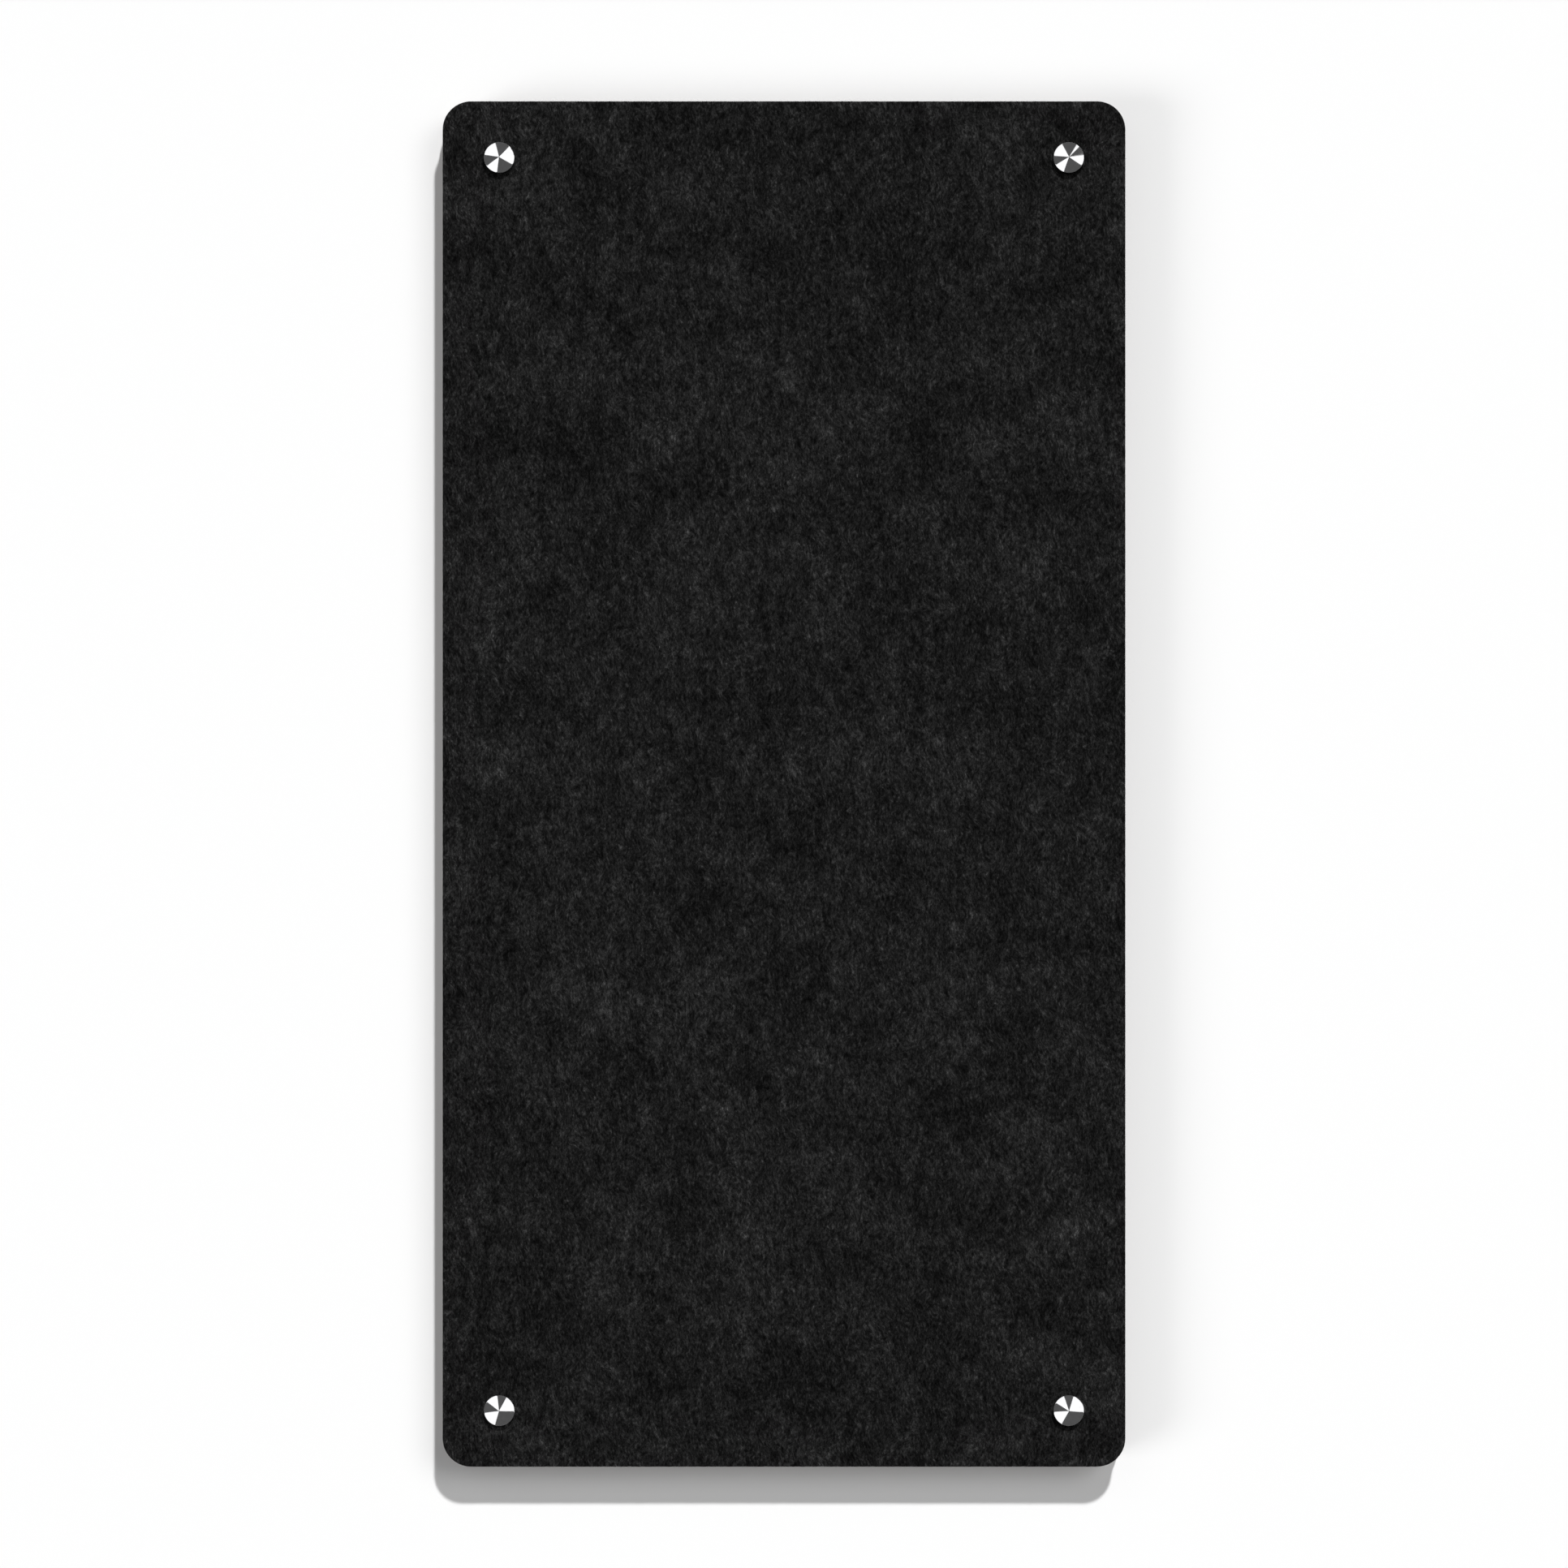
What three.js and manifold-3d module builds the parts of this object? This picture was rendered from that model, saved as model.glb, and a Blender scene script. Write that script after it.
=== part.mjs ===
// A wall pad: a felt-faced, foam-cored panel held off a wall by four turned stand-offs.
// Millimetres. +X right, +Z up, and the wall is the plane Y = 0 with the room on its -Y side,
// so the felt faces -Y. The origin is the centre of the hole grid, on the wall.
import * as THREE from "three";
import { mergeVertices } from "three/addons/utils/BufferGeometryUtils.js";
import Module from "manifold-3d";

const wasm = await Module();
wasm.setup();

// ---- Driving dimensions ----

// Panel outline and hole grid
const PANEL_WIDTH = 600;
const PANEL_HEIGHT = 1200;
const CORNER_RADIUS = 25;
const GRID_WIDTH = 500;
const GRID_HEIGHT = 1100;

// Depths, counted from the wall towards the room
const STAND_OFF = 16;
const BACKER_THICKNESS = 6;
const FOAM_THICKNESS = 14.8;
const FELT_THICKNESS = 3;
const FACE_GAP = 0.1; // glue line between layers, and play between stacked rings

// Stand-off hardware
const CAP_RADIUS = 13.5;
const CAP_RIM_HEIGHT = 4.4;
const CAP_SLOPE = THREE.MathUtils.degToRad(15.5);
const CAP_TIP_RADIUS = 0.4;
const THREAD_RADIUS = 5; // M10
const THREAD_PITCH = 1.5;
const THREAD_TURNS = 6; // turns from tight to free
const THREAD_CLEARANCE = 0.3;
const CAP_BORE_DEPTH = 5.5;
const RING_THICKNESS = 0.9;
const SLEEVE_WALL = 1.5;
const SLEEVE_CLEARANCE = 0.3;
const BARREL_RADIUS = 13.5;
const BARREL_FLOOR = 3.5;
const EDGE_BREAK = 0.3;
const BARREL_CHAMFER = 0.5;

// Wall fixings
const SCREW_RADIUS = 2.25;
const SCREW_HEAD_RADIUS = 4;
const SCREW_HOLE_RADIUS = 2.6;
const SCREW_REACH = 36; // from the wall plane into the wall
const SCREW_TIP = 5;
const RECESS_WIDTH = 0.9;
const RECESS_SPAN = 4.2;
const RECESS_DEPTH = 1.3;
const PLUG_RADIUS = 4;
const PLUG_BORE_RADIUS = 2.6;
const PLUG_RECESS = 2.5; // the plug's mouth lies this far inside the wall
const PLUG_END = 38;
const PLUG_RIBS = 5;
const PLUG_RIB_DEPTH = 0.5;
const PLUG_SOLID_LENGTH = 10;
const PLUG_SLOT_WIDTH = 1;

// Facets round the axis
const WIDE_SIDES = 32;
const NARROW_SIDES = 20;

// ---- Worked-out depths ----

const BARREL_LENGTH = STAND_OFF - RING_THICKNESS - 2 * FACE_GAP;
const GASKET_BACK = BARREL_LENGTH + FACE_GAP;
const FOAM_BACK = STAND_OFF + BACKER_THICKNESS + FACE_GAP;
const FELT_BACK = FOAM_BACK + FOAM_THICKNESS + FACE_GAP;
const PANEL_FRONT = FELT_BACK + FELT_THICKNESS;
const WASHER_BACK = PANEL_FRONT + FACE_GAP;
const CAP_BACK = WASHER_BACK + RING_THICKNESS + FACE_GAP;
const CAP_RIM = CAP_BACK + CAP_RIM_HEIGHT;
const CAP_RIM_RADIUS = CAP_RADIUS - EDGE_BREAK;
const CAP_TIP = CAP_RIM + (CAP_RIM_RADIUS - CAP_TIP_RADIUS) * Math.tan(CAP_SLOPE);
const BORE_RADIUS = THREAD_RADIUS + THREAD_CLEARANCE;
const SLEEVE_RADIUS = BORE_RADIUS + SLEEVE_WALL;
const PANEL_HOLE_RADIUS = SLEEVE_RADIUS + SLEEVE_CLEARANCE;
const STUD_BACK = BARREL_LENGTH - THREAD_TURNS * THREAD_PITCH;
const STUD_FRONT = CAP_BACK + CAP_BORE_DEPTH - THREAD_CLEARANCE;

const CORNERS = [
  { name: "tl", x: -GRID_WIDTH / 2, z: GRID_HEIGHT / 2 },
  { name: "tr", x: GRID_WIDTH / 2, z: GRID_HEIGHT / 2 },
  { name: "bl", x: -GRID_WIDTH / 2, z: -GRID_HEIGHT / 2 },
  { name: "br", x: GRID_WIDTH / 2, z: -GRID_HEIGHT / 2 },
];

// ---- Materials ----

const FELT = { color: 0x1c1c1c, roughness: 1, metalness: 0 };
const FOAM = { color: 0x2b2b2c, roughness: 0.9, metalness: 0 };
const PLYWOOD = { color: 0x3c3028, roughness: 0.7, metalness: 0 };
const POLISHED_STEEL = { color: 0xd8d8d8, roughness: 0.08, metalness: 1 };
const SATIN_STEEL = { color: 0xb9babc, roughness: 0.3, metalness: 1 };
const ZINC = { color: 0xa9adb0, roughness: 0.4, metalness: 1 };
const RUBBER = { color: 0x161616, roughness: 0.8, metalness: 0 };
const NYLON = { color: 0xe4e2dc, roughness: 0.5, metalness: 0 };
const PLUG_NYLON = { color: 0x8d8f92, roughness: 0.55, metalness: 0 };

// ---- Shape helpers ----

// A turned piece from [radius, depth] points, with depth counted from the wall into the room.
function turned(points, sides) {
  const profile = points.map(([radius, depth]) => new THREE.Vector2(radius, depth));
  return new THREE.LatheGeometry(profile, sides).rotateX(Math.PI);
}

// A turned piece with a hole right through it: its profile closes on itself.
function turnedRing(points, sides) {
  return turned([...points, points[0]], sides);
}

function flatRing(inner, outer, back, front, sides) {
  const corners = [
    [inner, back],
    [outer, back],
    [outer, front],
    [inner, front],
  ];
  return turnedRing(corners, sides);
}

function solidOf(geometry) {
  const bare = geometry.clone();
  bare.deleteAttribute("normal");
  bare.deleteAttribute("uv");
  const merged = mergeVertices(bare, 1e-4);
  const mesh = new wasm.Mesh({
    numProp: 3,
    vertProperties: merged.attributes.position.array,
    triVerts: new Uint32Array(merged.index.array),
  });
  return new wasm.Manifold(mesh);
}

function geometryOf(solid) {
  const { vertProperties, triVerts } = solid.getMesh();
  const geometry = new THREE.BufferGeometry();
  geometry.setAttribute("position", new THREE.BufferAttribute(vertProperties, 3));
  geometry.setIndex(new THREE.BufferAttribute(triVerts, 1));
  geometry.computeVertexNormals();
  return geometry;
}

// Cuts two crossed bars, each one width by span across, out of a piece, from depth back to front.
function crossCut(geometry, width, span, back, front) {
  const bar = new THREE.BoxGeometry(span, front - back, width);
  bar.translate(0, -(front + back) / 2, 0);
  const crossBar = bar.clone().rotateY(Math.PI / 2);
  const cutter = solidOf(bar).add(solidOf(crossBar));
  return geometryOf(solidOf(geometry).subtract(cutter));
}

const part = new THREE.Group();

function add(name, geometry, finish, x = 0, z = 0) {
  const mesh = new THREE.Mesh(geometry, new THREE.MeshStandardMaterial(finish));
  mesh.name = name;
  mesh.position.set(x, 0, z);
  part.add(mesh);
}

// ---- Panel ----

function panelOutline() {
  const right = PANEL_WIDTH / 2;
  const top = PANEL_HEIGHT / 2;
  const arcX = right - CORNER_RADIUS;
  const arcY = top - CORNER_RADIUS;
  const quarter = Math.PI / 2;
  const outline = new THREE.Shape();
  outline.moveTo(right, -arcY);
  outline.lineTo(right, arcY);
  outline.absarc(arcX, arcY, CORNER_RADIUS, 0, quarter);
  outline.absarc(-arcX, arcY, CORNER_RADIUS, quarter, 2 * quarter);
  outline.absarc(-arcX, -arcY, CORNER_RADIUS, 2 * quarter, 3 * quarter);
  outline.absarc(arcX, -arcY, CORNER_RADIUS, 3 * quarter, 4 * quarter);
  for (const { x, z } of CORNERS) {
    const hole = new THREE.Path();
    hole.absarc(x, z, PANEL_HOLE_RADIUS, 0, 2 * Math.PI, true);
    outline.holes.push(hole);
  }
  return outline;
}

// A flat layer of the panel, back at the given depth from the wall.
function panelLayer(back, thickness) {
  const options = { depth: thickness, bevelEnabled: false, curveSegments: 10 };
  const layer = new THREE.ExtrudeGeometry(panelOutline(), options);
  return layer.translate(0, 0, back).rotateX(Math.PI / 2);
}

// ---- Stand-off pieces, each on the Y axis ----

function barrel() {
  const seat = SCREW_HEAD_RADIUS + THREAD_CLEARANCE;
  const seatBack = BARREL_FLOOR - (seat - SCREW_HOLE_RADIUS);
  const points = [
    [SCREW_HOLE_RADIUS, 0],
    [BARREL_RADIUS - BARREL_CHAMFER, 0],
    [BARREL_RADIUS, BARREL_CHAMFER],
    [BARREL_RADIUS, BARREL_LENGTH - BARREL_CHAMFER],
    [BARREL_RADIUS - BARREL_CHAMFER, BARREL_LENGTH],
    [BORE_RADIUS + BARREL_CHAMFER, BARREL_LENGTH],
    [BORE_RADIUS, BARREL_LENGTH - BARREL_CHAMFER],
    [BORE_RADIUS, BARREL_FLOOR],
    [seat, BARREL_FLOOR],
    [SCREW_HOLE_RADIUS, seatBack],
  ];
  return turnedRing(points, WIDE_SIDES);
}

function barrelGasket() {
  const front = GASKET_BACK + RING_THICKNESS;
  return flatRing(BORE_RADIUS, BARREL_RADIUS - 1, GASKET_BACK, front, NARROW_SIDES);
}

function crushSleeve() {
  const back = STAND_OFF + FACE_GAP;
  const front = PANEL_FRONT - FACE_GAP;
  return flatRing(BORE_RADIUS, SLEEVE_RADIUS, back, front, NARROW_SIDES);
}

function capWasher() {
  const front = WASHER_BACK + RING_THICKNESS;
  return flatRing(BORE_RADIUS, CAP_RADIUS - 1.5, WASHER_BACK, front, NARROW_SIDES);
}

function stud() {
  const chamfer = THREAD_PITCH / 2;
  const points = [
    [0, STUD_BACK],
    [THREAD_RADIUS - chamfer, STUD_BACK],
    [THREAD_RADIUS, STUD_BACK + chamfer],
    [THREAD_RADIUS, STUD_FRONT - chamfer],
    [THREAD_RADIUS - chamfer, STUD_FRONT],
    [0, STUD_FRONT],
  ];
  return turned(points, NARROW_SIDES);
}

// The cap: a blind bore at the back, a straight rim, and a shallow cone for a face.
function cap() {
  const points = [
    [0, CAP_BACK + CAP_BORE_DEPTH],
    [BORE_RADIUS, CAP_BACK + CAP_BORE_DEPTH],
    [BORE_RADIUS, CAP_BACK],
    [CAP_RIM_RADIUS, CAP_BACK],
    [CAP_RADIUS, CAP_BACK + EDGE_BREAK],
    [CAP_RADIUS, CAP_RIM - EDGE_BREAK],
    [CAP_RIM_RADIUS, CAP_RIM],
    [CAP_TIP_RADIUS, CAP_TIP],
    [0, CAP_TIP],
  ];
  return turned(points, WIDE_SIDES);
}

function wallScrew() {
  const headFront = BARREL_FLOOR - FACE_GAP;
  const headBack = headFront - (SCREW_HEAD_RADIUS - SCREW_RADIUS);
  const points = [
    [0, -SCREW_REACH],
    [SCREW_RADIUS, -SCREW_REACH + SCREW_TIP],
    [SCREW_RADIUS, headBack],
    [SCREW_HEAD_RADIUS, headFront],
    [0, headFront],
  ];
  const blank = turned(points, NARROW_SIDES);
  const above = headFront + 1;
  return crossCut(blank, RECESS_WIDTH, RECESS_SPAN, headFront - RECESS_DEPTH, above);
}

// The plug: ribbed outside, bored for the screw, and slit crosswise over its inner end.
function wallPlug() {
  const mouth = -PLUG_RECESS;
  const points = [
    [PLUG_BORE_RADIUS, mouth],
    [PLUG_BORE_RADIUS, -PLUG_END],
    [PLUG_RADIUS - PLUG_RIB_DEPTH, -PLUG_END],
  ];
  const ribbedLength = PLUG_END - PLUG_SOLID_LENGTH;
  const pitch = ribbedLength / PLUG_RIBS;
  for (let rib = 0; rib < PLUG_RIBS; rib++) {
    const start = -PLUG_END + rib * pitch;
    points.push([PLUG_RADIUS, start + pitch * 0.7]);
    points.push([PLUG_RADIUS - PLUG_RIB_DEPTH, start + pitch]);
  }
  points.push([PLUG_RADIUS, -PLUG_SOLID_LENGTH + pitch * 0.3]);
  points.push([PLUG_RADIUS, mouth]);
  const sleeve = turnedRing(points, NARROW_SIDES);
  const span = 2 * PLUG_RADIUS + 2;
  return crossCut(sleeve, PLUG_SLOT_WIDTH, span, -PLUG_END - 1, -PLUG_SOLID_LENGTH - 2);
}

// ---- Assembly ----

add("backer_board", panelLayer(STAND_OFF, BACKER_THICKNESS), PLYWOOD);
add("foam_core", panelLayer(FOAM_BACK, FOAM_THICKNESS), FOAM);
add("felt_face", panelLayer(FELT_BACK, FELT_THICKNESS), FELT);

for (const { name, x, z } of CORNERS) {
  add(`wall_plug_${name}`, wallPlug(), PLUG_NYLON, x, z);
  add(`wall_screw_${name}`, wallScrew(), ZINC, x, z);
  add(`barrel_${name}`, barrel(), SATIN_STEEL, x, z);
  add(`barrel_gasket_${name}`, barrelGasket(), RUBBER, x, z);
  add(`crush_sleeve_${name}`, crushSleeve(), NYLON, x, z);
  add(`cap_washer_${name}`, capWasher(), NYLON, x, z);
  add(`stud_${name}`, stud(), SATIN_STEEL, x, z);
  add(`cap_${name}`, cap(), POLISHED_STEEL, x, z);
}

export default part;
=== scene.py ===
import math

import bmesh
import bpy
import numpy as np
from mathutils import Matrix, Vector, noise
from mathutils.geometry import delaunay_2d_cdt


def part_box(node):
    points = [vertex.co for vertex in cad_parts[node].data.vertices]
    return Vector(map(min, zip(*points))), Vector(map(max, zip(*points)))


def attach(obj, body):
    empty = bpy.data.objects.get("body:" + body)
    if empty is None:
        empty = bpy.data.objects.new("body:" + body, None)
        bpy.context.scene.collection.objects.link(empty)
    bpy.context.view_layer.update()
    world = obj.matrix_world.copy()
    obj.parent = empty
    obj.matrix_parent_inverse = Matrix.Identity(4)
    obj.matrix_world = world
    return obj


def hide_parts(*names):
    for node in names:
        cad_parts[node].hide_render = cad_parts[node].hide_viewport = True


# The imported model, in metres: +X right, +Z up, the wall is the plane Y = 0 and the felt faces -Y.
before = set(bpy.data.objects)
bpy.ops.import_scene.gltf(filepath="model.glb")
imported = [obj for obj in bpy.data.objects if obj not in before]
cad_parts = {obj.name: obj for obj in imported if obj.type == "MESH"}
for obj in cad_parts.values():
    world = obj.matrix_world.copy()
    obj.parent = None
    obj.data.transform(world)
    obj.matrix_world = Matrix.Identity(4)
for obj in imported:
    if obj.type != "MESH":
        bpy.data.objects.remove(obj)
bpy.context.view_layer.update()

MM = 0.001
TURN = 2 * math.pi
CORNERS = ("tl", "tr", "bl", "br")


# ---- Places and sizes, read from the frame ----

def depths(node):
    """How far a node's back and front lie in front of the wall."""
    low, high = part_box(node)
    return -high.y, -low.y


def radius_of(node):
    low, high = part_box(node)
    return (high.x - low.x) / 2


def centre_of(node):
    low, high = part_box(node)
    return (low.x + high.x) / 2, (low.z + high.z) / 2


HALF_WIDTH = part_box("felt_face")[1].x
HALF_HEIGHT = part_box("felt_face")[1].z
FELT = depths("felt_face")
FOAM = depths("foam_core")
BACKER = depths("backer_board")
CENTRES = {corner: centre_of(f"cap_{corner}") for corner in CORNERS}
CAP_RADIUS = radius_of("cap_tl")
SLEEVE_RADIUS = radius_of("crush_sleeve_tl")
THREAD_RADIUS = radius_of("stud_tl")
SCREW_RADIUS = 2.25 * MM
BORE_RADIUS = THREAD_RADIUS + 0.3 * MM
HOLE_RADIUS = SLEEVE_RADIUS + 0.3 * MM
CORNER_RADIUS = 25 * MM


# ---- Node helpers ----

def new_material(name, metallic=0.0, roughness=0.5, specular=0.5, colour=(0.5, 0.5, 0.5)):
    """A material with its node tree and its Principled shader."""
    material = bpy.data.materials.new(name)
    material.use_nodes = True
    tree = material.node_tree
    shader = tree.nodes["Principled BSDF"]
    shader.inputs["Metallic"].default_value = metallic
    shader.inputs["Roughness"].default_value = roughness
    shader.inputs["Specular IOR Level"].default_value = specular
    shader.inputs["Base Color"].default_value = (*colour, 1)
    return material, tree, shader


def node(tree, kind, inputs=None, output=0, **settings):
    """Adds a node, links or sets its inputs, and returns one of its outputs."""
    made = tree.nodes.new(f"ShaderNode{kind}")
    for key, value in settings.items():
        setattr(made, key, value)
    for key, value in (inputs or {}).items():
        if isinstance(value, bpy.types.NodeSocket):
            tree.links.new(value, made.inputs[key])
        else:
            made.inputs[key].default_value = value
    return made.outputs[output]


def calc(tree, operation, a, b=0.0):
    return node(tree, "Math", {0: a, 1: b}, operation=operation)


def object_mm(tree, scale=(1, 1, 1), turn=(0, 0, 0)):
    """The surface point in millimetres, turned and then scaled."""
    place = node(tree, "TexCoord", output="Object")
    steps = {"Rotation": turn, "Scale": tuple(1000 * s for s in scale)}
    return node(tree, "Mapping", {"Vector": place, **steps})


def fractal(tree, vector, scale=1.0, detail=4.0, roughness=0.5, distortion=0.0):
    """Fractal noise with its middle at 0.5."""
    inputs = {
        "Vector": vector,
        "Scale": scale,
        "Detail": detail,
        "Roughness": roughness,
        "Distortion": distortion,
    }
    return node(tree, "TexNoise", inputs)


def ramp(tree, value, stops, interpolation="LINEAR"):
    """A colour ramp from (position, colour) stops. A colour is one grey number or three."""
    made = tree.nodes.new("ShaderNodeValToRGB")
    made.color_ramp.interpolation = interpolation
    elements = made.color_ramp.elements
    while len(elements) < len(stops):
        elements.new(0.5)
    for element, (position, colour) in zip(elements, stops):
        grey = isinstance(colour, (int, float))
        element.position = position
        element.color = (colour, colour, colour, 1) if grey else (*colour, 1)
    tree.links.new(value, made.inputs["Fac"])
    return made.outputs["Color"]


def spread(tree, value, low, high):
    """Takes a noise's usual range, 0.3 to 0.7, to low and high."""
    inputs = {"Value": value, "From Min": 0.3, "From Max": 0.7, "To Min": low, "To Max": high}
    return node(tree, "MapRange", inputs)


def bump(tree, shader, height, distance, strength=1.0):
    inputs = {"Height": height, "Distance": distance, "Strength": strength}
    tree.links.new(node(tree, "Bump", inputs), shader.inputs["Normal"])


# ---- Materials ----

FELT_GREY = 0.0088
FELT_MOTTLE = 2.3
FELT_FIBRE_LAYERS = (
    # lean from upright in degrees, clump width and length in mm, weight
    (4, 1.6, 4.2, 5.2),
    (27, 2.0, 4.4, 3.6),
    (-25, 1.9, 4.2, 3.6),
    (8, 7.0, 13, 4.2),
)
FIBRE_WANDER = 14.0  # mm, twice the most that a fibre's line strays
PLY_PAIR = 2.4  # mm for a light and a dark ply together
PLY_TONES = ((0.0, 0.35), (0.08, 0.9), (0.45, 1.0), (0.52, 0.5), (0.92, 0.6), (1.0, 0.35))


def felt_material():
    """Black needle-punched felt: fibres mostly upright, in grey clumps over a near-black ground."""
    material, tree, shader = new_material("black_felt", roughness=1.0, specular=0.05)
    shader.inputs["Sheen Weight"].default_value = 0.01
    shader.inputs["Sheen Roughness"].default_value = 0.4
    slow = {"Vector": object_mm(tree), "Scale": 0.03, "Detail": 2}
    drift = node(tree, "TexNoise", slow, output="Color")
    centred = node(tree, "VectorMath", {0: drift, 1: (0.5, 0.5, 0.5)}, operation="SUBTRACT")
    wander = node(tree, "VectorMath", {0: centred, "Scale": FIBRE_WANDER}, operation="SCALE")
    total = None
    for lean, width, length, weight in FELT_FIBRE_LAYERS:
        stretch = (1 / width, 1 / width, 1 / length)
        straight = object_mm(tree, turn=(0, math.radians(lean), 0))
        bent = node(tree, "VectorMath", {0: straight, 1: wander}, operation="ADD")
        fibres = node(tree, "Mapping", {"Vector": bent, "Scale": stretch})
        layer = fractal(tree, fibres, detail=3.5, roughness=0.78)
        part = calc(tree, "MULTIPLY", calc(tree, "SUBTRACT", layer, 0.5), weight)
        total = part if total is None else calc(tree, "ADD", total, part)
    mottle = fractal(tree, object_mm(tree), scale=1 / 55, detail=3, roughness=0.65)
    mottling = calc(tree, "MULTIPLY", calc(tree, "SUBTRACT", mottle, 0.5), FELT_MOTTLE)
    shade = calc(tree, "EXPONENT", calc(tree, "ADD", total, mottling))
    grey = calc(tree, "MULTIPLY", shade, FELT_GREY)
    tree.links.new(grey, shader.inputs["Base Color"])
    bump(tree, shader, shade, 0.25 * MM, 0.5)
    return material


def fibre_material():
    """Single felt fibres, from near black to dark grey."""
    material, tree, shader = new_material("loose_fibre", roughness=0.85, specular=0.2)
    tone = fractal(tree, object_mm(tree), scale=0.15, detail=2)
    tree.links.new(ramp(tree, tone, ((0.3, 0.009), (0.7, 0.045))), shader.inputs["Base Color"])
    return material


def foam_material():
    """Closed-cell foam, its cut cells as fine pits in a dark grey, each pit's middle painted darker as
    painted shade.
    """
    material, tree, shader = new_material("eva_foam", roughness=0.85, specular=0.25)
    place = object_mm(tree)
    cells = node(tree, "TexVoronoi", {"Vector": place, "Scale": 1.6}, output="Distance")
    cloud = fractal(tree, place, scale=0.12, detail=3)
    # painted shade: the colour is darkest at each cell's middle, where the bump sinks it into a pit;
    # the cloud varies the tone at random
    colour = ramp(tree, calc(tree, "MULTIPLY", cells, cloud), ((0.05, 0.012), (0.4, 0.035)))
    tree.links.new(colour, shader.inputs["Base Color"])
    bump(tree, shader, cells, 0.3 * MM, 0.8)
    return material


def plywood_material():
    """Dark-stained plywood: grain along Z on the faces, plies in bands across the edge."""
    material, tree, shader = new_material("stained_plywood", specular=0.4)
    drawn_out = object_mm(tree, scale=(1, 1, 0.04))
    grain = fractal(tree, drawn_out, scale=0.35, detail=6, roughness=0.65, distortion=0.6)
    pores = fractal(tree, object_mm(tree, scale=(1, 1, 0.06)), scale=2.5, detail=2)
    stain = fractal(tree, object_mm(tree), scale=0.01, detail=3)
    figure = calc(tree, "ADD", calc(tree, "MULTIPLY", grain, 0.7), calc(tree, "MULTIPLY", pores, 0.3))
    face = ramp(tree, figure, ((0.35, (0.018, 0.012, 0.009)), (0.65, (0.085, 0.055, 0.036))))
    depth = node(tree, "SeparateXYZ", {0: object_mm(tree)}, output="Y")
    band = calc(tree, "FRACT", calc(tree, "DIVIDE", depth, PLY_PAIR))
    both = {"Factor": 1.0, 6: face, 7: ramp(tree, band, PLY_TONES)}
    shaded = node(tree, "Mix", both, output=2, data_type="RGBA", blend_type="MULTIPLY")
    tree.links.new(shaded, shader.inputs["Base Color"])
    tree.links.new(spread(tree, stain, 0.45, 0.7), shader.inputs["Roughness"])
    bump(tree, shader, figure, 0.15 * MM, 0.6)
    return material


def turned_metal(name, colour, smooth, rough, groove, groove_pitch):
    """Turned metal: faint smears from smooth to rough, and tool marks a pitch in mm apart."""
    material, tree, shader = new_material(name, metallic=1.0, colour=colour)
    smear = fractal(tree, object_mm(tree), scale=0.4, detail=4)
    tree.links.new(spread(tree, smear, smooth, rough), shader.inputs["Roughness"])
    tint = ramp(tree, smear, ((0.3, tuple(0.9 * c for c in colour)), (0.7, colour)))
    tree.links.new(tint, shader.inputs["Base Color"])
    lines = fractal(tree, object_mm(tree, scale=(0.02, 1 / groove_pitch, 0.02)), detail=2)
    bump(tree, shader, lines, groove)
    return material


def moulded_plastic(name, colour, roughness, specular=0.5):
    """Moulded plastic or rubber: a fine matt texture with a faint flow pattern in the colour."""
    material, tree, shader = new_material(name, specular=specular)
    flow = fractal(tree, object_mm(tree), scale=0.3, detail=3, distortion=0.8)
    grain = fractal(tree, object_mm(tree), scale=6, detail=2)
    tint = ramp(tree, flow, ((0.3, tuple(0.85 * c for c in colour)), (0.7, colour)))
    patches = spread(tree, flow, roughness - 0.08, roughness + 0.08)
    tree.links.new(tint, shader.inputs["Base Color"])
    tree.links.new(patches, shader.inputs["Roughness"])
    bump(tree, shader, grain, 0.03 * MM, 0.6)
    return material


felt = felt_material()
fibre = fibre_material()
foam = foam_material()
plywood = plywood_material()
# each metal: colour, lowest and highest roughness, depth and pitch of its tool marks
polished = turned_metal("polished_steel", (0.82, 0.82, 0.83), 0.03, 0.06, 0.0005 * MM, 0.6)
satin = turned_metal("satin_steel", (0.62, 0.62, 0.63), 0.24, 0.34, 0.02 * MM, 0.35)
thread_steel = turned_metal("thread_steel", (0.52, 0.52, 0.53), 0.28, 0.42, 0.01 * MM, 0.5)
zinc = turned_metal("zinc_steel", (0.5, 0.52, 0.55), 0.3, 0.5, 0.01 * MM, 0.5)
rubber = moulded_plastic("rubber", (0.02, 0.02, 0.02), 0.75, 0.3)
white_nylon = moulded_plastic("white_nylon", (0.72, 0.71, 0.67), 0.45)
plug_nylon = moulded_plastic("plug_nylon", (0.24, 0.25, 0.27), 0.5)


# ---- Mesh helpers ----

MERGE_REACH = 1e-7


def make_solid(name, points, faces, material=None):
    """An object with a closed mesh, its doubled points merged and its faces turned outward."""
    mesh = bpy.data.meshes.new(name)
    mesh.from_pydata(np.asarray(points).tolist(), [], faces)
    surface = bmesh.new()
    surface.from_mesh(mesh)
    bmesh.ops.remove_doubles(surface, verts=surface.verts, dist=MERGE_REACH)
    bmesh.ops.recalc_face_normals(surface, faces=surface.faces)
    surface.to_mesh(mesh)
    surface.free()
    if material:
        mesh.shade_smooth()
        mesh.materials.append(material)
    solid = bpy.data.objects.new(name, mesh)
    bpy.context.scene.collection.objects.link(solid)
    return solid


def make_piece(name, points, faces, material, body, replaced=None):
    """A closed smooth piece in the frame's own coordinates, riding on a body."""
    piece = make_solid(name, points, faces, material)
    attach(piece, body)
    if replaced:
        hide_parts(replaced)
    return piece


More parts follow.
